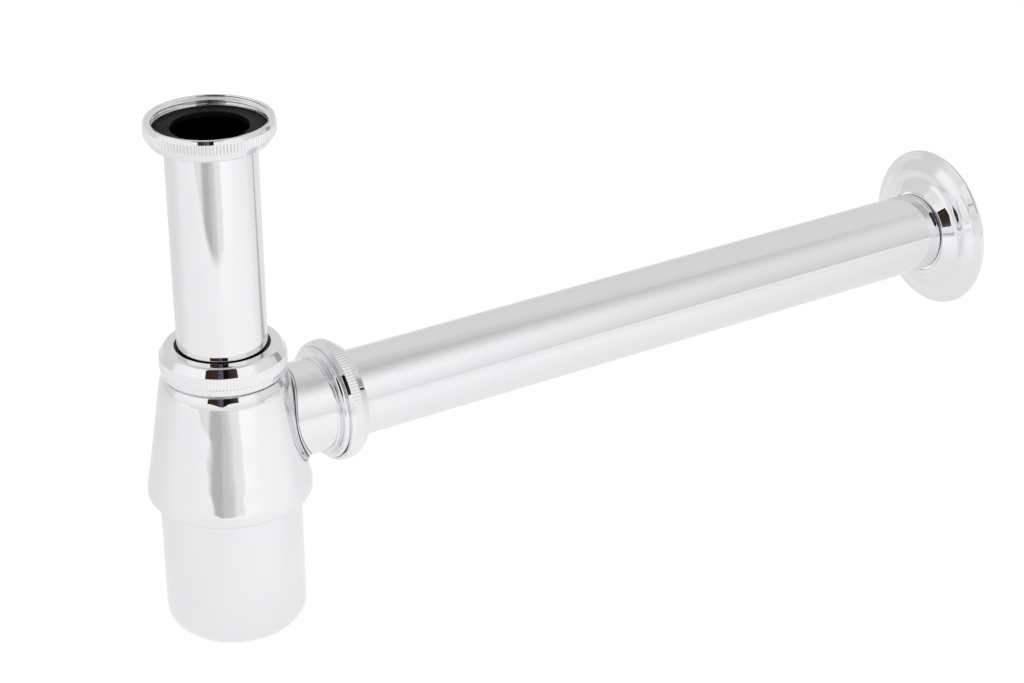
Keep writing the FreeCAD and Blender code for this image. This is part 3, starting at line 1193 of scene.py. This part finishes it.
    def bore_ring(self, theta: np.ndarray) -> np.ndarray:
        """The edge where the spigot's bore opens into the cavity.

        Args:
            theta: Angles round the spigot.

        Returns:
            The edge's points.
        """
        aside = SOCKET_R * np.cos(theta)
        height = SOCKET_R * np.sin(theta)
        ahead = np.sqrt(self.cavity_out(height) ** 2 - aside ** 2)
        return np.stack((ahead, aside, height), axis=-1)

    def patch_rings(self, hole: np.ndarray, frame_ring: np.ndarray, surface: Callable) -> list[np.ndarray]:
        """Rings on a turned surface between a hole's edge and its window's frame.

        Args:
            hole: Points of the hole's edge.
            frame_ring: Points of the window's frame, in the same order.
            surface: Distance of the surface from the inlet axis at a height.

        Returns:
            The rings, from the hole outwards.
        """
        hole_angle = np.arctan2(hole[:, 1], hole[:, 0])
        frame_angle = np.arctan2(frame_ring[:, 1], frame_ring[:, 0])
        rings = []
        for share in self.patch_steps:
            angle = hole_angle + share * (frame_angle - hole_angle)
            height = hole[:, 2] + share * (frame_ring[:, 2] - hole[:, 2])
            out = surface(height)
            rings.append(np.stack((out * np.cos(angle), out * np.sin(angle), height), axis=-1))
        return rings

    def build(self, name: str) -> bpy.types.Object:
        """Joins bell, root and spigot into one closed mesh.

        Args:
            name: The new piece's name.

        Returns:
            The piece.
        """
        rows, cone_window, wall_window = self.section()
        angles = np.linspace(-math.pi, math.pi, self.columns, endpoint=False)
        out = np.repeat(np.array([row[0] for row in rows])[:, None], self.columns, axis=1)
        along = np.array([row[1] for row in rows])[:, None]
        on_thread = np.abs(out - MALE_THREAD_R) < MERGE_GAP
        wave = thread_wave(along, angles[None, :], self.lip_height, self.neck_top)
        out = np.where(on_thread, out - wave, out)
        grid = to_row_frame(Axis.INLET, out, along, np.broadcast_to(angles[None, :], out.shape))
        middle = self.columns // 2
        first, last = middle - self.window_columns, middle + self.window_columns
        windows = (cone_window, wall_window)
        faces = []
        for quad in grid_faces(len(rows), self.columns, closed=True):
            row, column = divmod(quad[0], self.columns)
            if any(top <= row < end for top, end in windows) and first <= column < last:
                continue
            faces.append(quad)
        points = [grid.reshape(-1, 3)]
        frames = [self.window_frame(window, first, last, grid) for window in windows]
        outer, inner = (grid.reshape(-1, 3)[numbers] for numbers in frames)
        theta = np.arctan2(outer[:, 2], outer[:, 1])
        root = self.root_rings(theta)
        bore = self.bore_ring(theta)
        rings = [
            *reversed(self.patch_rings(root[0], outer, self.cone_out)),
            *root,
            *self.spigot_rings(theta),
            bore,
            *self.patch_rings(bore, inner, self.cavity_out),
        ]
        ring_numbers = [frames[0]]
        count = len(points[0])
        for ring in rings:
            points.append(ring)
            ring_numbers.append(np.arange(count, count + len(ring)))
            count += len(ring)
        ring_numbers.append(frames[1])
        for near, far in zip(ring_numbers, ring_numbers[1:]):
            for step in range(len(near)):
                beside = (step + 1) % len(near)
                faces.append((int(near[step]), int(near[beside]), int(far[beside]), int(far[step])))
        axis_place = np.array((0.0, 0.0, outlet_height()))
        piece = finish_mesh(name, np.concatenate(points) + axis_place, faces)
        self.paint_root_shade(piece, [ring + axis_place for ring in root])
        return piece

    def paint_root_shade(self, piece: bpy.types.Object, rings: list[np.ndarray]) -> None:
        """Marks how dark the painted shade is on each ring of the root's round.

        Args:
            piece: The body.
            rings: The rings' points.
        """
        around = len(rings[0])
        tree = KDTree(around * len(rings))
        for number, point in enumerate(np.concatenate(rings)):
            tree.insert(point, number)
        tree.balance()
        low, high = np.min(rings, axis=(0, 1)), np.max(rings, axis=(0, 1))
        # Paints shade into the root's corner through this mark
        mark = piece.data.attributes.new(ROOT_SHADE_MARK, "FLOAT", "POINT")
        for vertex in piece.data.vertices:
            if not all(least <= place <= most for least, place, most in zip(low, vertex.co, high)):
                continue
            _, number, gap = tree.find(vertex.co)
            if gap < HOLD_GAP:
                mark.data[vertex.index].value = self.root_shade_marks[number // around]

    def window_frame(self, window: tuple[int, int], first: int, last: int, grid: np.ndarray) -> np.ndarray:
        """Numbers of the grid's points round a window, in order round the spigot.

        Args:
            window: Its first and last rows.
            first: Its first column.
            last: Its last column.
            grid: The grid's points.

        Returns:
            The numbers.
        """
        top, end = window
        edge = [(row, column) for row in (top, end) for column in range(first, last + 1)]
        edge += [(row, column) for row in range(top + 1, end) for column in (first, last)]
        places = np.array([grid[row, column] for row, column in edge])
        spread = np.arctan2(places[:, 2], np.arctan2(places[:, 1], places[:, 0]) * self.skirt_r)
        order = np.argsort(spread)
        return np.array([edge[index][0] * self.columns + edge[index][1] for index in order])


@dataclass
class InletUnion:
    """The inlet nut with its washer, and the pipe that it holds."""

    washer_bore: float = 13.5 * MM
    washer_r: float = 19.4 * MM
    washer_round: float = 0.35 * MM
    flange_r: float = 19.0 * MM
    flange_thickness: float = 1.4 * MM

    def build(self, finishes: Finishes) -> None:
        """Builds the three pieces and dresses them.

        Args:
            finishes: The trap's finishes.
        """
        low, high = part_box("inlet_washer")
        nut = KnurledNut("inlet_nut", Axis.INLET, opens_up=True, pocket_depth=3.5 * MM)
        dress(nut.build("inlet_nut_turned"), "inlet_nut", "inlet_nut", finishes.upright_nut)
        ring = [
            Corner(self.washer_bore, low.z, self.washer_round),
            Corner(self.washer_r, low.z, self.washer_round),
            Corner(self.washer_r, high.z, self.washer_round),
            Corner(self.washer_bore, high.z, self.washer_round),
        ]
        washer = turned_piece("inlet_washer_moulded", rounded_section(ring), Axis.INLET)
        dress(washer, "inlet_washer", "inlet_nut", finishes.rubber)
        low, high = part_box("inlet_pipe")
        shoulder = high.z - self.flange_thickness
        tube = [
            Corner(PIPE_BORE_R, low.z),
            Corner(PIPE_R, low.z, PIPE_END_ROUND),
            Corner(PIPE_R, shoulder),
            Corner(self.flange_r, shoulder),
            Corner(self.flange_r, high.z),
            Corner(PIPE_BORE_R, high.z),
        ]
        pipe = turned_piece("inlet_pipe_drawn", rounded_section(tube), Axis.INLET)
        dress(pipe, "inlet_pipe", "inlet_pipe", finishes.inlet_pipe)


@dataclass
class TrapVessel:
    """The body, the nut on its neck and the cup under it."""

    cup_r: float = 25.4 * MM
    cup_wall: float = 1.7 * MM
    cup_corner: float = 7.6 * MM

    def build(self, finishes: Finishes) -> None:
        """Builds the three pieces and dresses them.

        Args:
            finishes: The trap's finishes.
        """
        body = TrapBody().build("trap_body_cast")
        dress(body, "trap_body", "trap_body", finishes.cast)
        nut = KnurledNut("neck_nut", Axis.INLET, rim_band=2.6 * MM, knurl_width=4.3 * MM)
        dress(nut.build("neck_nut_turned"), "neck_nut", "neck_nut", finishes.upright_nut)
        low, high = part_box("cup")
        bore = self.cup_r - self.cup_wall
        floor = low.z + self.cup_wall
        pot = [
            Corner(0.0, low.z),
            Corner(self.cup_r, low.z, self.cup_corner),
            Corner(self.cup_r, high.z),
            Corner(bore, high.z),
            Corner(bore, floor, self.cup_corner - self.cup_wall),
            Corner(0.0, floor),
        ]
        cup = turned_piece("cup_spun", rounded_section(pot, closed=False), Axis.INLET, closed=False)
        dress(cup, "cup", "cup", finishes.spun)


@dataclass
class OutletRun:
    """The outlet nut, the long pipe and the flange that covers its hole in the wall.

    Args:
        inside_tilt: How far a face of the flange leans to the wall before it counts as inside.
    """

    rim_height: float = 1.0 * MM
    rim_round: float = 0.6 * MM
    brim_r: float = 28.7 * MM
    brim_height: float = 2.1 * MM
    step_r: float = 24.9 * MM
    plateau_height: float = 4.4 * MM
    foot_r: float = 21.3 * MM
    lip_r: float = 17.3 * MM
    lip_round: float = 0.5 * MM
    hole_r: float = 16.6 * MM
    foot_round: float = 4.0 * MM
    bend_round: float = 5.0 * MM
    sheet: float = 0.8 * MM
    inside_tilt: float = 0.2

    def flange_section(self) -> list[Point]:
        """The pressed sheet's section, its far face offset from its near one.

        Returns:
            Its points.
        """
        low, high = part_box("wall_flange")
        rim_r = (high.y - low.y) / 2
        wall = high.x
        near = [
            Corner(rim_r, wall),
            Corner(rim_r, wall - self.rim_height, self.rim_round),
            Corner(self.brim_r, wall - self.brim_height, self.bend_round),
            Corner(self.step_r, wall - self.plateau_height, self.bend_round),
            Corner(self.foot_r, wall - self.plateau_height, self.foot_round),
            Corner(self.lip_r, low.x, self.lip_round),
            Corner(self.hole_r, low.x, EDGE_ROUND),
        ]
        far = offset_corners(near, -self.sheet)
        slope = (far[-2].along - far[-3].along) / (far[-2].out - far[-3].out)
        hole_along = far[-3].along + slope * (self.hole_r - far[-3].out)
        back = [*far[1:-2], Corner(self.hole_r, hole_along)]
        foot = Corner(far[0].out, wall)
        return rounded_section([*near, *reversed(back), foot])

    def build(self, finishes: Finishes) -> None:
        """Builds the three pieces and dresses them.

        Args:
            finishes: The trap's finishes.
        """
        nut = KnurledNut("outlet_nut", Axis.OUTLET)
        dress(nut.build("outlet_nut_turned"), "outlet_nut", "outlet_nut", finishes.outlet_nut)
        low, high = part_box("outlet_pipe")
        tube = [
            Corner(PIPE_BORE_R, low.x),
            Corner(PIPE_R, low.x, PIPE_END_ROUND),
            Corner(PIPE_R, high.x, PIPE_END_ROUND),
            Corner(PIPE_BORE_R, high.x),
        ]
        pipe = turned_piece("outlet_pipe_drawn", rounded_section(tube), Axis.OUTLET)
        dress(pipe, "outlet_pipe", "outlet_pipe", finishes.outlet_pipe)
        flange = turned_piece("wall_flange_pressed", self.flange_section(), Axis.OUTLET)
        dress(flange, "wall_flange", "wall_flange", finishes.pressed)
        # The flange's inside gets a near-black plate: partly its duller plate, partly painted shade
        self.dull_and_shade_inside(flange, finishes.inside_plate_and_shade)

    def dull_and_shade_inside(self, flange: bpy.types.Object, finish: bpy.types.Material) -> None:
        """Gives the inside of the flange's neck a duller plate, darkened near to black as painted shade for
        the gap round the pipe.

        Args:
            flange: The pressed flange.
            finish: The duller plate with its painted shade.
        """
        flange.data.materials.append(finish)
        axis_height = outlet_height()
        for face in flange.data.polygons:
            outward = Vector((0.0, face.center.y, face.center.z - axis_height))
            faces_in = face.normal.x > self.inside_tilt or face.normal.dot(outward) < 0.0
            if faces_in and outward.length < self.foot_r:
                face.material_index = 1


def dress_packing(finishes: Finishes) -> None:
    """Gives the hidden seals and slip washers, which keep their solids, their finishes.

    Args:
        finishes: The trap's finishes.
    """
    packing = {
        "neck_seal": finishes.rubber,
        "outlet_seal": finishes.rubber,
        "cup_seal": finishes.rubber,
        "neck_washer": finishes.plastic,
        "outlet_washer": finishes.plastic,
    }
    for node, finish in packing.items():
        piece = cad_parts[node]
        piece.data.materials.clear()
        piece.data.materials.append(finish)
        LOG.info("%s keeps its solid", node)


@dataclass
class Studio:
    """White tent, pale floor and the camera.

    Ahead is the way over the floor to the camera, and aside is the way to the camera's right.

    Args:
        clip_reach: Nearest and farthest that the camera sees.
        floor_glow: The floor's own light, which makes it white to the camera.
        floor_grey: The floor's colour, which keeps the shadow.
        paper_tones: The floor's tone in the metal, over ahead.
        paper_sides: What the tone is multiplied by, over aside.
        shade_reach: Where ahead the shade by the camera sets in.
        shade_depths: How deep it is, over aside divided by ahead.
        shade_wander: How far its edges wander.
        shade_waves: Waves to the metre in them.
        front_tones: The tent's tone on the camera's side, over the height of the way there.
        back_tones: The same on the far side.
        front_reach: Where the far side passes into the camera's side.
        front_falloff: Where the camera's side falls off towards the wall.
        front_far_share: What is left of its tone there.
        end_reach: Where the dull end by the wall sets in.
        end_heights: Where it fades out upwards.
        end_tone: Its tone.
        opening_distance: How far off the opening hangs.
        opening_outline: Its corners, aside and up from the inlet.
        opening_colours: Its colours, over aside.
    """

    camera_place: tuple[float, float, float] = (-0.33737, -0.71251, 0.30702)
    camera_azimuth: float = math.radians(32.72)
    camera_elevation: float = math.radians(26.39)
    camera_roll: float = math.radians(-0.08)
    lens: float = 87.76
    sensor: float = 36.0
    clip_reach: tuple[float, float] = (0.01, 50.0)
    floor_half: float = 6.0
    floor_glow: float = 0.76
    floor_grey: float = 0.36
    paper_tones: Stops = (
        (-0.2, 0.71), (-0.1, 0.75), (-0.02, 0.83), (0.05, 0.89), (0.13, 0.9), (0.25, 0.92), (0.32, 0.95),
        (0.4, 1.0),
    )
    paper_sides: Stops = ((-0.05, 1.0), (0.06, 1.1), (0.3, 1.1), (0.75, 0.9))
    shade_reach: tuple[float, float] = (0.332, 0.358)
    shade_depths: Stops = (
        (-0.98, 0.0), (-0.9, 0.26), (-0.6, 0.2), (-0.5, 0.42), (-0.42, 0.66), (-0.2, 0.68), (-0.13, 0.54),
        (-0.05, 0.52), (0.05, 0.4), (0.1, 0.28), (0.3, 0.22), (0.38, 0.0),
    )
    shade_wander: float = 0.12
    shade_waves: float = 9.0
    front_tones: Stops = (
        (0.0, 0.86), (0.1, 0.92), (0.3, 0.99), (0.5, 1.05), (0.62, 1.05), (0.72, 0.97), (0.8, 0.83),
        (0.89, 0.6), (1.0, 0.58),
    )
    back_tones: Stops = ((0.0, 0.74), (0.3, 0.74), (0.6, 0.77), (0.82, 0.77), (0.9, 0.67), (1.0, 0.58))
    front_reach: tuple[float, float] = (-0.26, -0.08)
    front_falloff: tuple[float, float] = (0.43, 0.60)
    front_far_share: float = 0.81
    end_reach: tuple[float, float] = (0.99, 0.996)
    end_heights: tuple[float, float] = (0.55, 0.72)
    end_tone: float = 0.40
    opening_distance: float = 0.80
    opening_outline: tuple[Point, ...] = (
        (-0.05, 0.02), (0.05, 0.22), (0.09, 0.28), (0.32, 0.40), (0.38, 0.5), (0.40, 0.62), (0.40, 1.5),
        (-0.60, 1.5), (-0.58, 0.6), (-0.54, 0.40), (-0.32, 0.27), (-0.11, 0.07),
    )
    opening_colours: tuple[tuple[float, Colour], ...] = (
        (-0.6, (0.045, 0.024, 0.012, 1.0)),
        (-0.2, (0.045, 0.026, 0.016, 1.0)),
        (-0.15, (0.075, 0.07, 0.10, 1.0)),
        (-0.04, (0.10, 0.10, 0.17, 1.0)),
        (-0.02, (0.006, 0.006, 0.009, 1.0)),
        (0.1, (0.008, 0.006, 0.007, 1.0)),
        (0.14, (0.032, 0.021, 0.017, 1.0)),
        (0.4, (0.075, 0.052, 0.046, 1.0)),
    )

    def build(self) -> None:
        """Sets the camera, the floor, the tent and its opening."""
        self.add_camera()
        self.add_floor()
        self.add_tent()
        self.add_opening()
        bpy.context.scene.view_settings.view_transform = "Standard"

    def toward_camera(self) -> Vector:
        """The way over the floor from the trap to the camera."""
        way = Vector((self.camera_place[0], self.camera_place[1], 0.0))
        return way.normalized()

    def right_of_camera(self) -> Vector:
        """The way over the floor to the right, as the camera sees it."""
        return Vector((0.0, 0.0, 1.0)).cross(self.toward_camera())

    def add_camera(self) -> None:
        """Stands the camera where the photograph was taken from."""
        data = bpy.data.cameras.new("camera")
        data.lens = self.lens
        data.sensor_width = self.sensor
        data.clip_start, data.clip_end = self.clip_reach
        camera = bpy.data.objects.new("camera", data)
        bpy.context.scene.collection.objects.link(camera)
        aim = Euler((math.pi / 2 - self.camera_elevation, 0.0, -self.camera_azimuth)).to_matrix()
        turn = aim @ Matrix.Rotation(self.camera_roll, 3, "Z")
        camera.matrix_world = Matrix.Translation(self.camera_place) @ turn.to_4x4()
        bpy.context.scene.camera = camera

    def add_card(self, name: str, corners: list[Vector], material: bpy.types.Material) -> bpy.types.Object:
        """Adds a flat studio card.

        Args:
            name: The card's name.
            corners: Its corners in order.
            material: Its finish.

        Returns:
            The card.
        """
        mesh = bpy.data.meshes.new(name)
        mesh.from_pydata([tuple(corner) for corner in corners], [], [tuple(range(len(corners)))])
        mesh.materials.append(material)
        card = bpy.data.objects.new(name, mesh)
        bpy.context.scene.collection.objects.link(card)
        return card

    def add_floor(self) -> None:
        """Lays the pale floor, white to the camera and shaded to the metal behind it and under the camera."""
        level = CAD_BOX[0].z
        half = self.floor_half
        square = ((-half, -half), (half, -half), (half, half), (-half, half))
        corners = [Vector((x, y, level)) for x, y in square]
        material, nodes = new_material("floor_pale")
        place = nodes.add("NewGeometry").outputs["Position"]
        ahead = nodes.dot(place, self.toward_camera())
        aside = nodes.dot(place, self.right_of_camera())
        waves = nodes.add("TexNoise", Vector=place, Scale=self.shade_waves, Detail=2.0).outputs["Fac"]
        wander = nodes.math("MULTIPLY", nodes.math("SUBTRACT", waves, 0.5), self.shade_wander)
        sides = nodes.greys(aside, self.paper_sides)
        paper = nodes.math("MULTIPLY", nodes.greys(ahead, self.paper_tones), sides)
        shaded = nodes.ease(ahead, self.shade_reach, (0.0, 1.0))
        slant = nodes.math("DIVIDE", aside, nodes.math("MAXIMUM", ahead, self.shade_reach[0]))
        depth = nodes.greys(nodes.math("ADD", slant, wander), self.shade_depths)
        kept = nodes.math("SUBTRACT", 1.0, nodes.math("MULTIPLY", shaded, depth))
        tone = nodes.math("MULTIPLY", paper, kept)
        seen = nodes.add("LightPath").outputs["Is Camera Ray"]
        strength = nodes.math("MULTIPLY", nodes.math("MAXIMUM", tone, seen), self.floor_glow)
        glow = nodes.add("Emission", Color=WHITE, Strength=strength)
        sheet = nodes.add("BsdfDiffuse", Color=grey(self.floor_grey))
        both = nodes.add("AddShader")
        nodes.feed(both, 0, glow.outputs[0])
        nodes.feed(both, 1, sheet.outputs[0])
        nodes.add("OutputMaterial", Surface=both.outputs[0])
        self.add_card("studio_floor", corners, material)

    def add_tent(self) -> None:
        """Lights the trap from a white tent, greyer behind and overhead and dull at the end by the wall."""
        world = bpy.data.worlds.new("white_tent")
        bpy.context.scene.world = world
        world.use_nodes = True
        nodes = Nodes(world.node_tree)
        way = nodes.add("TexCoord").outputs["Generated"]
        height = nodes.add("SeparateXYZ", Vector=way).outputs["Z"]
        wallward = nodes.dot(way, Vector((1.0, 0.0, 0.0)))
        fall = nodes.ease(wallward, self.front_falloff, (1.0, self.front_far_share))
        front = nodes.math("MULTIPLY", nodes.greys(height, self.front_tones), fall)
        back = nodes.greys(height, self.back_tones)
        share = nodes.ease(nodes.dot(way, self.toward_camera()), self.front_reach, (0.0, 1.0))
        sides = nodes.mix(share, back, front)
        level_part = nodes.math("SQRT", nodes.math("SUBTRACT", 1.0, nodes.math("MULTIPLY", height, height)))
        at_end = nodes.ease(nodes.math("DIVIDE", wallward, level_part), self.end_reach, (0.0, 1.0))
        below = nodes.ease(height, self.end_heights, (1.0, 0.0))
        tent = nodes.mix(nodes.math("MULTIPLY", at_end, below), sides, grey(self.end_tone))
        seen = nodes.add("LightPath").outputs["Is Camera Ray"]
        backdrop = nodes.mix(seen, tent, WHITE)
        light = nodes.add("Background", Color=backdrop, Strength=1.0)
        nodes.add("OutputWorld", Surface=light.outputs[0])

    def add_opening(self) -> None:
        """Hangs the dark opening of the tent round the camera, which doesn't see it."""
        material, nodes = new_material("opening_dark")
        place = nodes.add("NewGeometry").outputs["Position"]
        colour = nodes.ramp(nodes.dot(place, self.right_of_camera()), list(self.opening_colours))
        dark = nodes.add("Emission", Color=colour, Strength=1.0)
        nodes.add("OutputMaterial", Surface=dark.outputs[0])
        middle = self.toward_camera() * self.opening_distance
        corners = [
            middle + self.right_of_camera() * across + Vector((0.0, 0.0, height))
            for across, height in self.opening_outline
        ]
        card = self.add_card("studio_opening", corners, material)
        card.visible_camera = False
        card.visible_shadow = False
        card.visible_diffuse = False


def main() -> None:
    logging.basicConfig(level=logging.INFO, format="%(name)s: %(message)s")
    finishes = Finishes.build()
    for assembly in (InletUnion(), TrapVessel(), OutletRun()):
        assembly.build(finishes)
    dress_packing(finishes)
    Studio().build()


if __name__ == "__main__":
    main()
